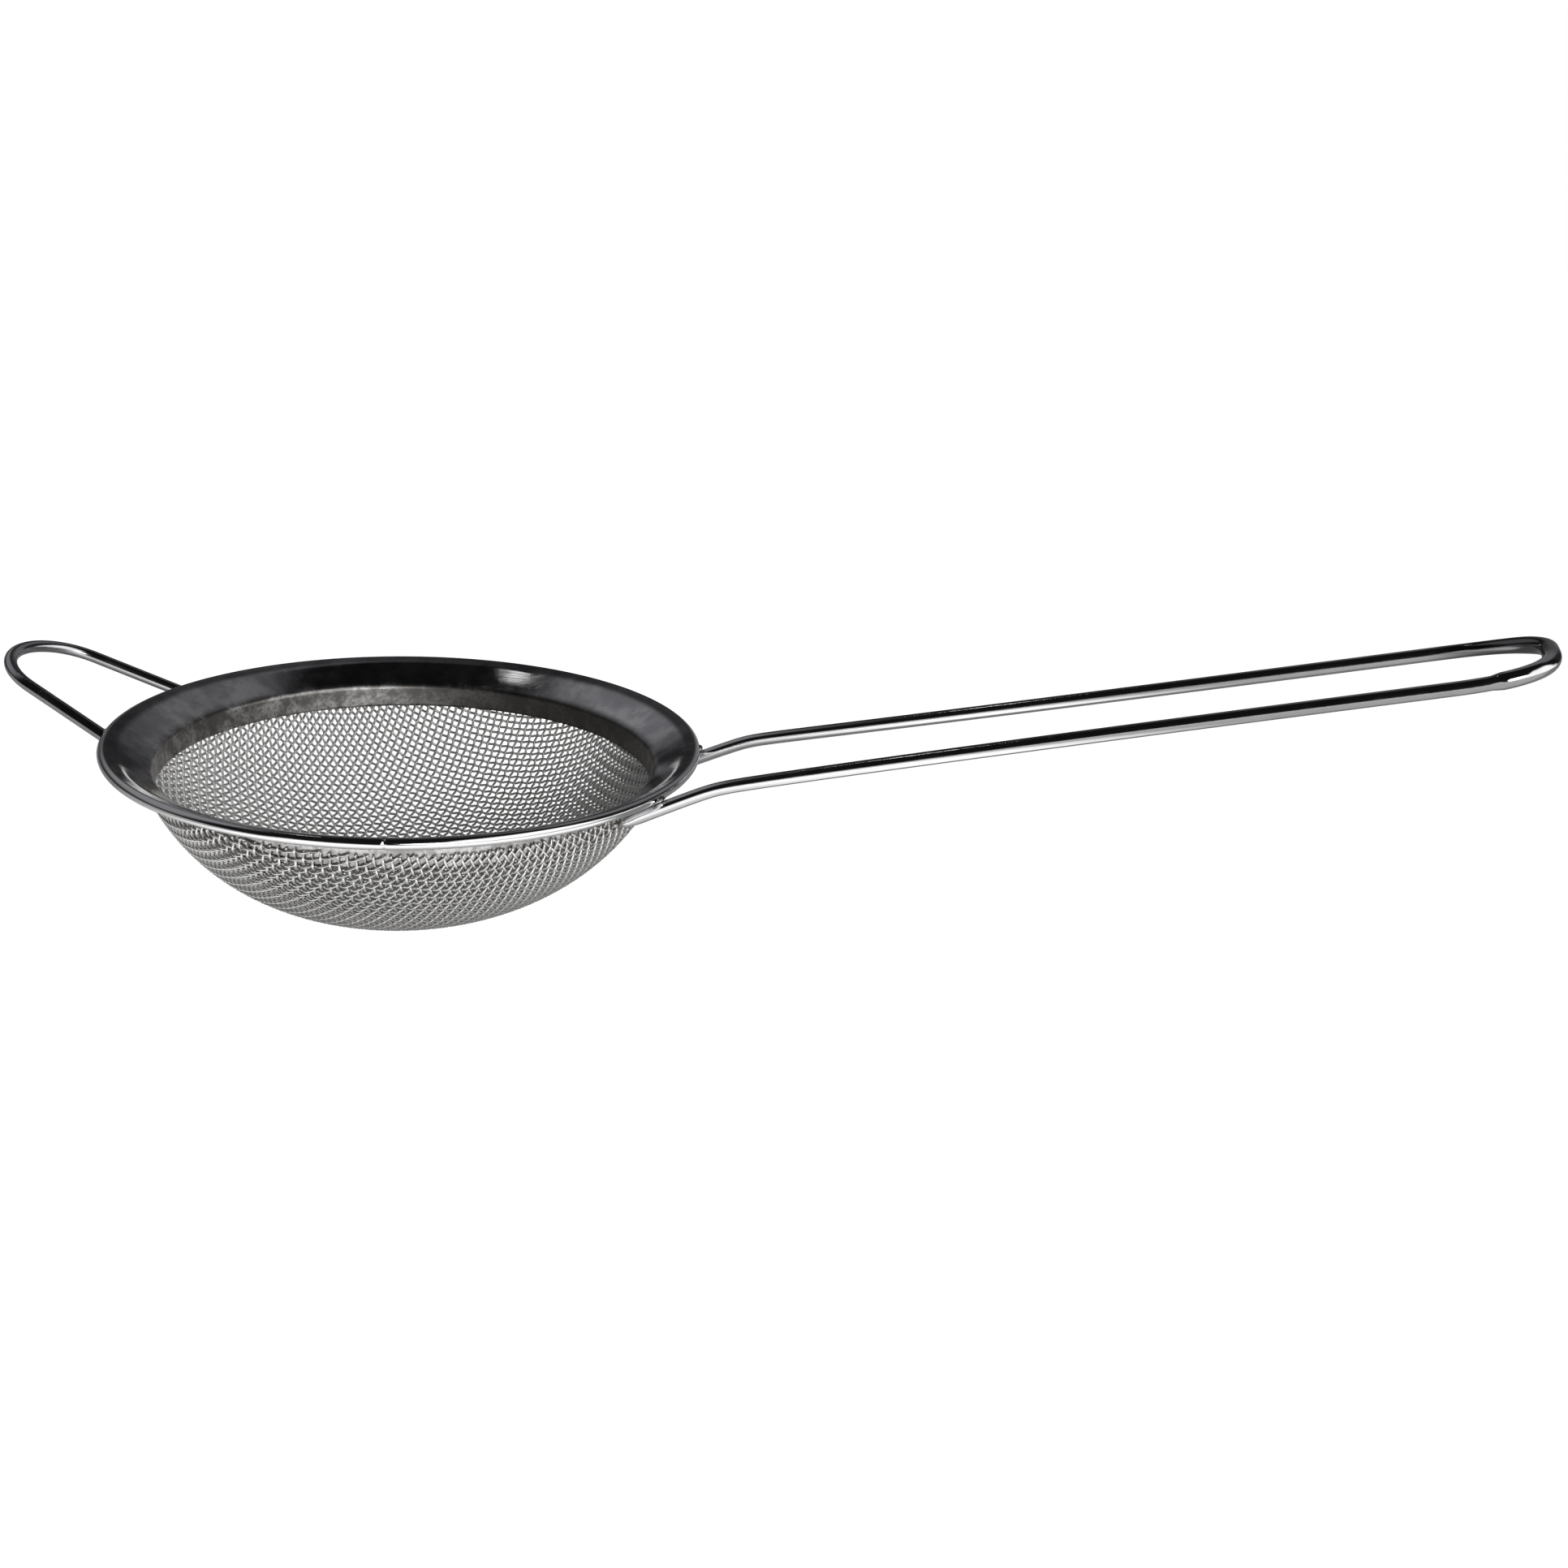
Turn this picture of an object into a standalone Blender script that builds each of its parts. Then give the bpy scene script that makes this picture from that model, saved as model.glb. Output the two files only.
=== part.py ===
"""A tea strainer: a pressed rim collar, a bowl of woven wire cloth, a U-bent handle wire and a rest loop.

World frame, in metres: the origin is the flat centre of the bowl's underside, +Z runs up through the rim and
+X runs out along the handle. The loop that rests on the far side of the cup is at -X. The dimensions below
are in millimetres and are scaled once, where the meshes and the curves are made.
"""

import math

import bmesh
import bpy
from mathutils import Matrix, Vector

MM = 0.001
OBJECT_NAME = "tea_strainer"
CLEARANCE = 0.12

# Cosine of the angle, seen from above, between the rim's radius and a wire that passes under the bead.
CROSSING_COSINE = 0.96

# Rim collar: one sheet, spun into a flare that ends in a curled bead above a nearly upright neck.
RIM_RADIUS = 45.0
BEAD_RADIUS = 0.8
BEAD_HEIGHT = 27.1
SHEET = 0.35
FLARE_SLOPE = math.radians(31.6)
NECK_TOP_RADIUS = 37.7
NECK_FOOT_RADIUS = 37.45
NECK_FOOT_DROP = 6.3
BEND_RADIUS = 0.7
CURL_TURN = math.radians(276.0)
CURL_POINTS = 11
BEND_POINTS = 4
COLLAR_STEPS = 72

# Bowl: wire cloth drawn to a superellipse, with its upright edge spot-welded round the outside of the neck.
CLOTH = 0.5
BOWL_POWER = 2.3
BOWL_MOUTH_SHARE = 0.9077
BOWL_EDGE_DROP = 4.0
BOWL_FACET_RADIUS = 2.5
BOWL_ROWS = 15
BOWL_STEPS = 72

# Handle: one wire bent to a long U. Each leg climbs out from under the bead and then levels off.
HANDLE_WIRE_RADIUS = 1.0
HANDLE_TIP = 37.5
HANDLE_TIP_SPREAD = 12.7
HANDLE_END_SPREAD = 8.85
HANDLE_TAPER_LENGTH = 46.0
HANDLE_CLIMB = 0.52
HANDLE_RISE = 0.2615
HANDLE_KNEE = 50.9
HANDLE_KNEE_ROUNDING = 0.3

# Grip end: the U closes in a bend that is fuller on its near side, rises a little and is a little thicker.
GRIP_START = 148.3
GRIP_LENGTH = 13.6
GRIP_SKEW = 1.0
GRIP_FULLNESS_NEAR = 3.8
GRIP_FULLNESS_FAR = 1.9
GRIP_LIFT = 1.3
GRIP_LIFT_LENGTH = 14.0
GRIP_SWELL = 0.22
GRIP_SWELL_START = 153.0
GRIP_SWELL_RAMP = 1.4
GRIP_SWELL_FADE = (4.0, 8.8)
GRIP_POINTS = 20

# Rest loop: one wire bent to a tapering U that leans up and away from the rim.
LOOP_WIRE_RADIUS = 0.95
LOOP_TIP = 36.9
LOOP_RISE = 0.39
LOOP_TAPER = 0.23
LOOP_SPREAD_AT_RIM = 12.62
LOOP_ARC_CENTRE = 55.9

# Weld nuggets: one between the bead and the top of each wire, and one at the face of each handle tip.
NUGGET_RADIUS = 0.36
NUGGET_HALF_LENGTH = 0.75
TIP_NUGGET_DROP = 0.25

BEAD_CENTRE_RADIUS = RIM_RADIUS - BEAD_RADIUS


def clear_scene():
    for found in list(bpy.data.objects):
        bpy.data.objects.remove(found)


def collection_named(name):
    made = bpy.data.collections.new(name)
    bpy.context.scene.collection.children.link(made)
    return made


def steel(name, colour, roughness):
    """A stainless steel material for one sub-part."""
    material = bpy.data.materials.new(name)
    material.use_nodes = True
    shader = material.node_tree.nodes["Principled BSDF"]
    shader.inputs["Base Color"].default_value = (*colour, 1.0)
    shader.inputs["Metallic"].default_value = 1.0
    shader.inputs["Roughness"].default_value = roughness
    return material


def offset_line(points, distance):
    """The (radius, height) line moved to its left by distance, mitred at each corner."""
    moved = []
    for i, here in enumerate(points):
        before = (here - points[i - 1]).normalized() if i else None
        after = (points[i + 1] - here).normalized() if i + 1 < len(points) else None
        first = before or after
        second = after or before
        normals = [Vector((-way.y, way.x)) for way in (first, second)]
        middle = (normals[0] + normals[1]).normalized()
        moved.append(here + middle * (distance / middle.dot(normals[0])))
    return moved


def arc(centre, radius, start, turn, count):
    """Points on an arc in the (radius, height) plane."""
    angles = [start + turn * i / (count - 1) for i in range(count)]
    return [centre + radius * Vector((math.cos(a), math.sin(a))) for a in angles]


def spun(name, profile, closed, steps, material, collection):
    """A body turned from a profile at +X that runs down its outer side."""
    mesh = bpy.data.meshes.new(name)
    edges = [(i, i + 1) for i in range(len(profile) - 1)]
    if closed:
        edges.append((len(profile) - 1, 0))
    mesh.from_pydata([(p.x * MM, 0.0, p.y * MM) for p in profile], edges, [])
    made = bpy.data.objects.new(name, mesh)
    collection.objects.link(made)
    screw = made.modifiers.new("turn", "SCREW")
    screw.axis = "Z"
    screw.angle = math.tau
    screw.steps = steps
    screw.render_steps = steps
    screw.use_merge_vertices = True
    screw.merge_threshold = 1e-5
    screw.use_smooth_shade = True
    mesh.materials.append(material)
    return made


def wire(name, path, radius, swell, material, collection):
    """A round wire along a list of points, with capped ends. Swell is its thickness at each, 1 for plain."""
    curve = bpy.data.curves.new(name, "CURVE")
    curve.dimensions = "3D"
    curve.bevel_depth = radius * MM
    curve.bevel_resolution = 2
    curve.use_fill_caps = True
    spline = curve.splines.new("POLY")
    spline.points.add(len(path) - 1)
    for point, place, thickness in zip(spline.points, path, swell):
        point.co = (place.x * MM, place.y * MM, place.z * MM, 1.0)
        point.radius = thickness
    made = bpy.data.objects.new(name, curve)
    collection.objects.link(made)
    curve.materials.append(material)
    return made


def collar_mid_line():
    """The middle of the sheet from the neck's foot, round the bend, up the flare and round the curl."""
    half = SHEET / 2
    flare = Vector((math.cos(FLARE_SLOPE), math.sin(FLARE_SLOPE)))
    bead = Vector((BEAD_CENTRE_RADIUS, BEAD_HEIGHT))
    curl_radius = BEAD_RADIUS - half
    curl_start = FLARE_SLOPE + math.pi / 2
    curl = arc(bead, curl_radius, curl_start, -CURL_TURN, CURL_POINTS)
    foot = Vector((NECK_FOOT_RADIUS + half, BEAD_HEIGHT - NECK_FOOT_DROP))
    run = (curl[0].x - NECK_TOP_RADIUS - half) / flare.x
    corner = curl[0] - flare * run
    neck = (corner - foot).normalized()
    turn = math.acos(neck.dot(flare))
    setback = BEND_RADIUS * math.tan(turn / 2)
    centre = corner - neck * setback + BEND_RADIUS * Vector((neck.y, -neck.x))
    start = math.atan2(neck.x, -neck.y)
    bend = arc(centre, BEND_RADIUS, start, -turn, BEND_POINTS)
    return [foot, *bend, *curl]


def rim_collar(collection):
    middle = collar_mid_line()
    upper = offset_line(middle, SHEET / 2)
    lower = offset_line(middle, -SHEET / 2)
    outline = upper + lower[::-1]
    material = steel("collar_steel", (0.62, 0.62, 0.63), 0.16)
    return spun("rim_collar", outline, True, COLLAR_STEPS, material, collection)


def bowl_line():
    """The outside of the bowl, from its pole up to the top edge of the cloth."""
    mouth_height = BEAD_HEIGHT - NECK_FOOT_DROP
    mouth_radius = NECK_FOOT_RADIUS + SHEET + CLEARANCE + CLOTH
    width = mouth_radius / BOWL_MOUTH_SHARE
    top_share = (1 - BOWL_MOUTH_SHARE**BOWL_POWER) ** (1 / BOWL_POWER)
    depth = mouth_height / (1 - top_share)
    line = [Vector((0.0, 0.0)), Vector((BOWL_FACET_RADIUS, 0.0))]
    first = BOWL_FACET_RADIUS / width
    for i in range(1, BOWL_ROWS + 1):
        share = first + (BOWL_MOUTH_SHARE - first) * (i / BOWL_ROWS) ** 0.85
        height = depth * (1 - (1 - share**BOWL_POWER) ** (1 / BOWL_POWER))
        line.append(Vector((width * share, height)))
    edge_radius = NECK_TOP_RADIUS + SHEET + CLEARANCE + CLOTH
    line.append(Vector((edge_radius, BEAD_HEIGHT - BOWL_EDGE_DROP)))
    return line


def mesh_bowl(collection):
    outside = bowl_line()
    inside = offset_line(outside, CLOTH)
    outline = inside + outside[::-1]
    material = steel("mesh_steel", (0.66, 0.66, 0.65), 0.32)
    return spun("mesh_bowl", outline, False, BOWL_STEPS, material, collection)


def handle_height(x):
    """Height of the handle wire's centre: the lower of two slopes, rounded where they cross."""
    lean = math.atan(HANDLE_CLIMB / CROSSING_COSINE)
    under_bead = (HANDLE_WIRE_RADIUS + BEAD_RADIUS + CLEARANCE) / math.cos(lean)
    crossing = math.sqrt(BEAD_CENTRE_RADIUS**2 - HANDLE_TIP_SPREAD**2)
    climb = -under_bead + HANDLE_CLIMB * (x - crossing)
    knee = -under_bead + HANDLE_CLIMB * (HANDLE_KNEE - crossing)
    level = knee + HANDLE_RISE * (x - HANDLE_KNEE)
    gap = (climb - level) / 2
    lift = GRIP_LIFT * max(0.0, (x - GRIP_START) / GRIP_LIFT_LENGTH) ** 2
    return BEAD_HEIGHT + (climb + level) / 2 - math.hypot(gap, HANDLE_KNEE_ROUNDING) + lift


def handle_spread(x):
    """Distance of each leg of the handle from the middle plane."""
    share = math.exp(-(x - HANDLE_TIP) / HANDLE_TAPER_LENGTH)
    return HANDLE_END_SPREAD + (HANDLE_TIP_SPREAD - HANDLE_END_SPREAD) * share


def grip_bend():
    """The bend that closes the U, from its near side round to its far side."""
    half_width = handle_spread(GRIP_START)
    points = []
    for i in range(1, GRIP_POINTS):
        turn = math.pi * (i / GRIP_POINTS - 0.5)
        fullness = GRIP_FULLNESS_FAR if turn > 0 else GRIP_FULLNESS_NEAR
        reach = math.cos(turn) ** (2 / fullness)
        side = math.copysign(abs(math.sin(turn)) ** (2 / fullness), turn)
        x = GRIP_START + (GRIP_LENGTH + GRIP_SKEW * side) * reach
        points.append(Vector((x, half_width * side, handle_height(x))))
    return points


def handle_path():
    """The near leg, the grip bend and the far leg of the handle."""
    stations = [HANDLE_TIP, 40.0, 42.5, 45.0, 47.0, 48.5, 50.0, 51.0, 52.0, 53.5, 55.5]
    stations += [stations[-1] + (GRIP_START - stations[-1]) * i / 14 for i in range(1, 15)]
    leg = [Vector((x, handle_spread(x), handle_height(x))) for x in stations]
    near = [Vector((p.x, -p.y, p.z)) for p in leg]
    return near + grip_bend() + leg[::-1]


def eased(value, low, high):
    """0 up to low and 1 from high, with a smooth step between."""
    share = min(1.0, max(0.0, (value - low) / (high - low)))
    return share * share * (3 - 2 * share)


def grip_thickness(place):
    """Thickness of the handle wire: 1 where plain, stepping up on the near leg and fading on the far one."""
    on = eased(place.x, GRIP_SWELL_START, GRIP_SWELL_START + GRIP_SWELL_RAMP)
    off = eased(place.y, *GRIP_SWELL_FADE)
    return 1 + GRIP_SWELL * on * (1 - off)


def handle_wire(collection):
    material = steel("handle_steel", (0.68, 0.68, 0.69), 0.10)
    path = handle_path()
    swell = [grip_thickness(place) for place in path]
    return wire("handle_wire", path, HANDLE_WIRE_RADIUS, swell, material, collection)


def loop_height(x):
    """Height of the rest loop's centre line at a distance x from the rim's axis."""
    lean = math.atan(LOOP_RISE / CROSSING_COSINE)
    under_bead = (LOOP_WIRE_RADIUS + BEAD_RADIUS + CLEARANCE) / math.cos(lean)
    crossing = math.sqrt(BEAD_CENTRE_RADIUS**2 - LOOP_SPREAD_AT_RIM**2)
    return BEAD_HEIGHT - under_bead + LOOP_RISE * (x - crossing)


def loop_spread(x):
    crossing = math.sqrt(BEAD_CENTRE_RADIUS**2 - LOOP_SPREAD_AT_RIM**2)
    return LOOP_SPREAD_AT_RIM - LOOP_TAPER * (x - crossing)


def loop_path():
    """The near leg, the end bend and the far leg of the rest loop, which lies towards -X."""
    lean = math.atan(LOOP_TAPER)
    radius = loop_spread(LOOP_ARC_CENTRE) * math.cos(lean)
    last = LOOP_ARC_CENTRE + radius * math.sin(lean)
    stations = [LOOP_TIP + (last - LOOP_TIP) * i / 9 for i in range(9)]
    leg = [Vector((-x, loop_spread(x), loop_height(x))) for x in stations]
    end = []
    for i in range(15):
        angle = (math.pi / 2 - lean) * (1 - i / 7)
        x = LOOP_ARC_CENTRE + radius * math.cos(angle)
        end.append(Vector((-x, radius * math.sin(angle), loop_height(x))))
    near = [Vector((p.x, -p.y, p.z)) for p in leg]
    return near + end[::-1] + leg[::-1]


def rest_loop_wire(collection):
    material = steel("loop_steel", (0.64, 0.64, 0.65), 0.14)
    path = loop_path()
    return wire("rest_loop_wire", path, LOOP_WIRE_RADIUS, [1.0] * len(path), material, collection)


def nugget(name, place, turn, collection):
    """A flattened drop of weld metal that lies along the tangent of the rim."""
    mesh = bpy.data.meshes.new(name)
    shape = bmesh.new()
    bmesh.ops.create_uvsphere(shape, u_segments=12, v_segments=8, radius=MM)
    squash = Matrix.Diagonal((NUGGET_RADIUS, NUGGET_HALF_LENGTH, NUGGET_RADIUS, 1.0))
    shape.transform(squash)
    shape.to_mesh(mesh)
    shape.free()
    mesh.shade_smooth()
    mesh.materials.append(steel(name + "_steel", (0.45, 0.44, 0.43), 0.35))
    made = bpy.data.objects.new(name, mesh)
    made.location = place * MM
    made.rotation_euler = (0.0, 0.0, turn)
    collection.objects.link(made)


def rim_nugget(name, way, across, spread, slope, wire_radius, collection):
    """A weld outside the bead, on top of a wire that crosses under it on the way side of the rim."""
    lean = math.atan(slope / math.cos(math.asin(spread / BEAD_CENTRE_RADIUS)))
    drop = BEAD_RADIUS - NUGGET_RADIUS
    reach = BEAD_RADIUS + CLEARANCE + NUGGET_RADIUS
    out = math.sqrt(reach**2 - drop**2)
    radius = BEAD_CENTRE_RADIUS + out * math.cos(lean) + drop * math.sin(lean)
    height = BEAD_HEIGHT + out * math.sin(lean) - drop * math.cos(lean)
    turn = math.asin(spread / BEAD_CENTRE_RADIUS)
    place = Vector((way * radius * math.cos(turn), across * radius * math.sin(turn), height))
    nugget(name, place, way * across * turn, collection)


def tip_nugget(name, across, collection):
    """A weld between the end face of a handle tip and the cloth that covers the neck."""
    radius = NECK_FOOT_RADIUS + SHEET + CLEARANCE + CLOTH + CLEARANCE + NUGGET_RADIUS
    turn = math.atan2(HANDLE_TIP_SPREAD, HANDLE_TIP)
    height = handle_height(HANDLE_TIP) - TIP_NUGGET_DROP
    place = Vector((radius * math.cos(turn), across * radius * math.sin(turn), height))
    nugget(name, place, across * turn, collection)


def weld_nuggets(collection):
    handle = (handle_spread(BEAD_CENTRE_RADIUS), HANDLE_CLIMB, HANDLE_WIRE_RADIUS)
    loop = (LOOP_SPREAD_AT_RIM, LOOP_RISE, LOOP_WIRE_RADIUS)
    for side, across in (("near", -1), ("far", 1)):
        rim_nugget("handle_weld_" + side, 1, across, *handle, collection)
        tip_nugget("handle_tip_weld_" + side, across, collection)
        rim_nugget("rest_loop_weld_" + side, -1, across, *loop, collection)


def build():
    clear_scene()
    parts = collection_named(OBJECT_NAME)
    rim_collar(parts)
    mesh_bowl(parts)
    handle_wire(parts)
    rest_loop_wire(parts)
    weld_nuggets(parts)


build()
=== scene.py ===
"""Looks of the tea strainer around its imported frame.

Shapes are worked out in millimetres in the frame's own axes: the bowl's lowest point is the origin, +Z is
up and +X runs out along the handle. They are scaled to metres once, where each mesh is made.
"""

import math

import bmesh
import bpy
import numpy as np
from mathutils import Matrix, Vector


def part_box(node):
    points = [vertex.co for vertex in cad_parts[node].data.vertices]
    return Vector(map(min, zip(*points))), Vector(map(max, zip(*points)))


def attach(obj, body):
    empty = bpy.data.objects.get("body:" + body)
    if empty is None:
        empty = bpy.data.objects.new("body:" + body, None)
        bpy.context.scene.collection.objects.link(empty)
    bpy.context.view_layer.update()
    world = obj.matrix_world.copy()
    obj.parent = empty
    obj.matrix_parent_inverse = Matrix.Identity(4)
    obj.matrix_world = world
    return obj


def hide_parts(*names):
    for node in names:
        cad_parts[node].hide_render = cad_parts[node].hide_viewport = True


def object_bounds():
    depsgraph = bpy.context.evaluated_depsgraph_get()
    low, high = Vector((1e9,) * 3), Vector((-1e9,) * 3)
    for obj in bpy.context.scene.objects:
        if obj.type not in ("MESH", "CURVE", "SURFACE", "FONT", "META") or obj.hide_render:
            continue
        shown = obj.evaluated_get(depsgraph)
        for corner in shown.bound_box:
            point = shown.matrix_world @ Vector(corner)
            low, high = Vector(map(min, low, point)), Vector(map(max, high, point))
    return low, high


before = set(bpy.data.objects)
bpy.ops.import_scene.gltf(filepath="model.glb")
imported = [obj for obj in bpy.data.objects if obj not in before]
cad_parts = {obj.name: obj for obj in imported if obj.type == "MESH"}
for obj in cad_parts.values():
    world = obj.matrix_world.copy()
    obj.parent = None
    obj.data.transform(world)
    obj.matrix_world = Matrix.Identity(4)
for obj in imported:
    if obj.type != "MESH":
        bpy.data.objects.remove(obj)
cad_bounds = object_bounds()

MM = 0.001
TAU = math.tau


def millimetres(node):
    low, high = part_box(node)
    return np.array(low) / MM, np.array(high) / MM


COLLAR_LOW, COLLAR_HIGH = millimetres("rim_collar")
BOWL_HIGH = millimetres("mesh_bowl")[1]

# Collar: a nearly upright neck, a flare that eases to a gentler slope near the rim, and a curled bead. The
# flare's waves are (height, number round the rim, start).
RIM = (COLLAR_HIGH[1] - COLLAR_LOW[1]) / 2
BEAD = 0.8
BEAD_Z = COLLAR_HIGH[2] - BEAD
BEAD_R = RIM - BEAD
SHEET = 0.35
CURL_TURN = math.radians(270)
FLARE = math.radians(33.2)
FLARE_TOP = math.radians(20.0)
FLARE_EASE_START = 41.8
FLARE_EASE = 1.3
FLARE_BOW = math.radians(2.2)
FLARE_BOW_MIDDLE = 40.0
FLARE_BOW_REACH = 2.0
FLARE_WAVES = [(0.022, 3, 0.7), (0.014, 7, 2.1)]
RIPPLE_HEIGHT = 0.008
RIPPLES = 13
NECK_TOP = 37.7
NECK_FOOT = 37.45
NECK_FOOT_Z = COLLAR_LOW[2]
NECK_BEND = 0.9
# Painted shade darkens the neck most round this angle
PAINTED_SHADE_ANGLE = 1.15
COLLAR_SIDES = 360

# The bead's seam is a fine nick. The spot welds that hold the cloth dent the neck.
SEAM_ANGLE = math.radians(-72.2)
SEAM_WIDTH = math.radians(0.22)
SEAM_REACH = math.radians(0.45)
SEAM_DEPTH = 0.16
WELD_MARKS = 9
WELD_MARK_START = math.radians(61.0)
WELD_MARK_LIFT = 1.6
WELD_MARK_AREA = 0.9
WELD_MARK_DEPTH = 0.055

# Cloth: CLOTH_WIRE is a radius, CLOTH_MID_GAP lies between the CAD shell's outside and the cloth's middle
CLOTH_WIRE = 0.21
CLOTH_MID_GAP = 0.43
CLOTH_EDGE_DROP = 0.1
BOWL_WALL_AND_GAP = 0.62
BOWL_POWER = 2.3
BOWL_LEAN = 1.0
MOUTH_SHARE = 0.9077
WALL_EASE = 0.8
WARP_PITCH = 1.237
WEFT_PITCH = 1.126
NET_MARGIN = 2.6
CLOTH_TURN = math.radians(-5.1)
CLOTH_SIDES = 6
CLOTH_CUTS = 4
CLOTH_PRESSED = 0.7
CLOTH_PRESS_REACH = 0.4
HEAT_HEIGHT = (18.6, 20.6)

# Wires: the gap is to the bead, and the cosine is of the angle at which the legs cross under it
WIRE_GAP = 0.12
CROSSING_COSINE = 0.96
WIRE_SIDES = 28
TIP_ROUNDING = 0.35
TIP_BLUNT = 0.65
TIP_WIDENED = 0.18
TIP_FLATTENED = 0.30

# Handle: its legs climb from the neck to a knee, draw together and end in a lifted, fuller bend. The bend's
# stretch of painted shade comes in along X and across from the near side.
HANDLE_R = 1.0
HANDLE_TIP = 37.5
HANDLE_CLIMB = 0.52
HANDLE_RISE = 0.2615
HANDLE_KNEE = 50.9
HANDLE_ROUNDING = 0.3
HANDLE_SPREAD = 12.7
HANDLE_END_SPREAD = 8.85
HANDLE_TAPER = 46.0
HANDLE_PRESSED = 3.0
END_START = 148.3
END_LENGTH = 13.45
END_SKEW = 1.0
END_POWER_NEAR = 3.8
END_POWER_FAR = 1.9
END_LIFT = 1.18
END_LIFT_LENGTH = 14.0
END_SWELL = 0.22
SWELL_START = 153.2
SWELL_RAMP = 0.9
SWELL_FADE_START = 4.0
SWELL_FADE = 4.8
# Where painted shade darkens the grip's bend
END_SHADE_ALONG = (END_START - 2, END_START + 8)
END_SHADE_ACROSS = (-7.0, -3.0)

# Rest loop: straight legs that taper into a round end
LOOP_R = 0.95
LOOP_TIP = 36.9
LOOP_RISE = 0.39
LOOP_TAPER = 0.23
LOOP_SPREAD = 12.62
LOOP_ARC = 55.84
LOOP_PRESSED = 2.5

# Weld lumps: half sizes out from the axis, along the rim and up, and how far each is sunk inwards and down
RIM_LUMP = (0.42, 0.80, 0.36)
RIM_LUMP_SUNK = (0.40, 0.28)
TIP_LUMP = (0.45, 0.90, 0.45)
TIP_LUMP_SUNK = (0.0, 0.0)

# Camera: angles, and the rim's centre to its right, above its axis and away from it, in rim radii. The
# faceted rim of the CAD spans RIM_FACETS of the round one.
CAMERA_AZIMUTH = 0.15256
CAMERA_ELEVATION = 0.33883
CAMERA_ROLL = 0.0710
CAMERA_TO_RIM = (-1.2893, 0.1586, 5.7336)
CAMERA_LENS = 38.214
CAMERA_SENSOR = 36.0
RIM_FACETS = 0.9998


# ---------------------------------------------------------------- numbers


def unit(v):
    return v / np.linalg.norm(v, axis=-1, keepdims=True)


def ramp(value, start, length):
    """0 up to start, 1 from start + length on, and straight in between."""
    return np.clip((value - start) / length, 0, 1)


def eased(value, start, length):
    """A ramp with eased ends."""
    t = ramp(value, start, length)
    return t * t * (3 - 2 * t)


def wrapped(angle):
    """The same angle, within half a turn of zero."""
    return np.angle(np.exp(1j * angle))


def lengths_along(points):
    """The distance from the first point of a line to each of its points."""
    return np.concatenate([[0], np.cumsum(np.linalg.norm(np.diff(points, axis=0), axis=1))])


# ---------------------------------------------------------------- meshes


def mesh_object(name, points, faces, material):
    """A smooth object in the scene, from points in millimetres and a list or an array of faces."""
    mesh = bpy.data.meshes.new(name)
    points = np.asarray(points, np.float64) * MM
    mesh.vertices.add(len(points))
    mesh.vertices.foreach_set("co", points.astype(np.float32).ravel())
    sizes = np.array([len(f) for f in faces], np.int32)
    starts = np.concatenate([[0], np.cumsum(sizes)[:-1]])
    mesh.loops.add(int(sizes.sum()))
    mesh.loops.foreach_set("vertex_index", np.concatenate([np.asarray(f, np.int32) for f in faces]))
    mesh.polygons.add(len(faces))
    mesh.polygons.foreach_set("loop_start", starts.astype(np.int32))
    mesh.polygons.foreach_set("use_smooth", np.full(len(faces), True))
    mesh.update(calc_edges=True)
    mesh.validate()
    mesh.materials.append(material)
    made = bpy.data.objects.new(name, mesh)
    bpy.context.scene.collection.objects.link(made)
    return made


def spun_grid(turns, rows):
    """Faces of a grid of points[angle][row], closed round the axis and along the profile."""
    here = np.arange(turns)
    after = (here + 1) % turns
    faces = []
    for row in range(rows):
        up = (row + 1) % rows
        corners = [here * rows + row, after * rows + row, after * rows + up, here * rows + up]
        faces.append(np.stack(corners, 1))
    return np.concatenate(faces)


def tube_mesh(lines, sides):
    """Points and faces for capped tubes.

    Each line is (centres, directions across, directions up, radii across, radii up).
    """
    angles = np.arange(sides) * TAU / sides
    all_points = []
    all_faces = []
    base = 0
    for centres, across, up, wide, high in lines:
        rings = len(centres)
        aside = across[:, None] * (wide[:, None] * np.cos(angles))[..., None]
        above = up[:, None] * (high[:, None] * np.sin(angles))[..., None]
        ring = centres[:, None] + (aside + above)
        all_points.append(ring.reshape(-1, 3))
        start = base + np.arange(rings - 1)[:, None] * sides
        here = np.arange(sides)[None]
        after = (here + 1) % sides
        quads = np.stack([start + here, start + after, start + sides + after, start + sides + here], -1)
        all_faces.extend(quads.reshape(-1, 4))
        all_faces.append(base + np.arange(sides)[::-1])
        all_faces.append(base + (rings - 1) * sides + np.arange(sides))
        base += rings * sides
    return np.concatenate(all_points), all_faces


def framed(centres, up_hint):
    """Directions across and up for a tube along centres, with up as near to up_hint as it can be."""
    along = unit(np.gradient(centres, axis=0))
    across = unit(np.cross(along, up_hint))
    return across, np.cross(across, along)


# ---------------------------------------------------------------- materials


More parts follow.
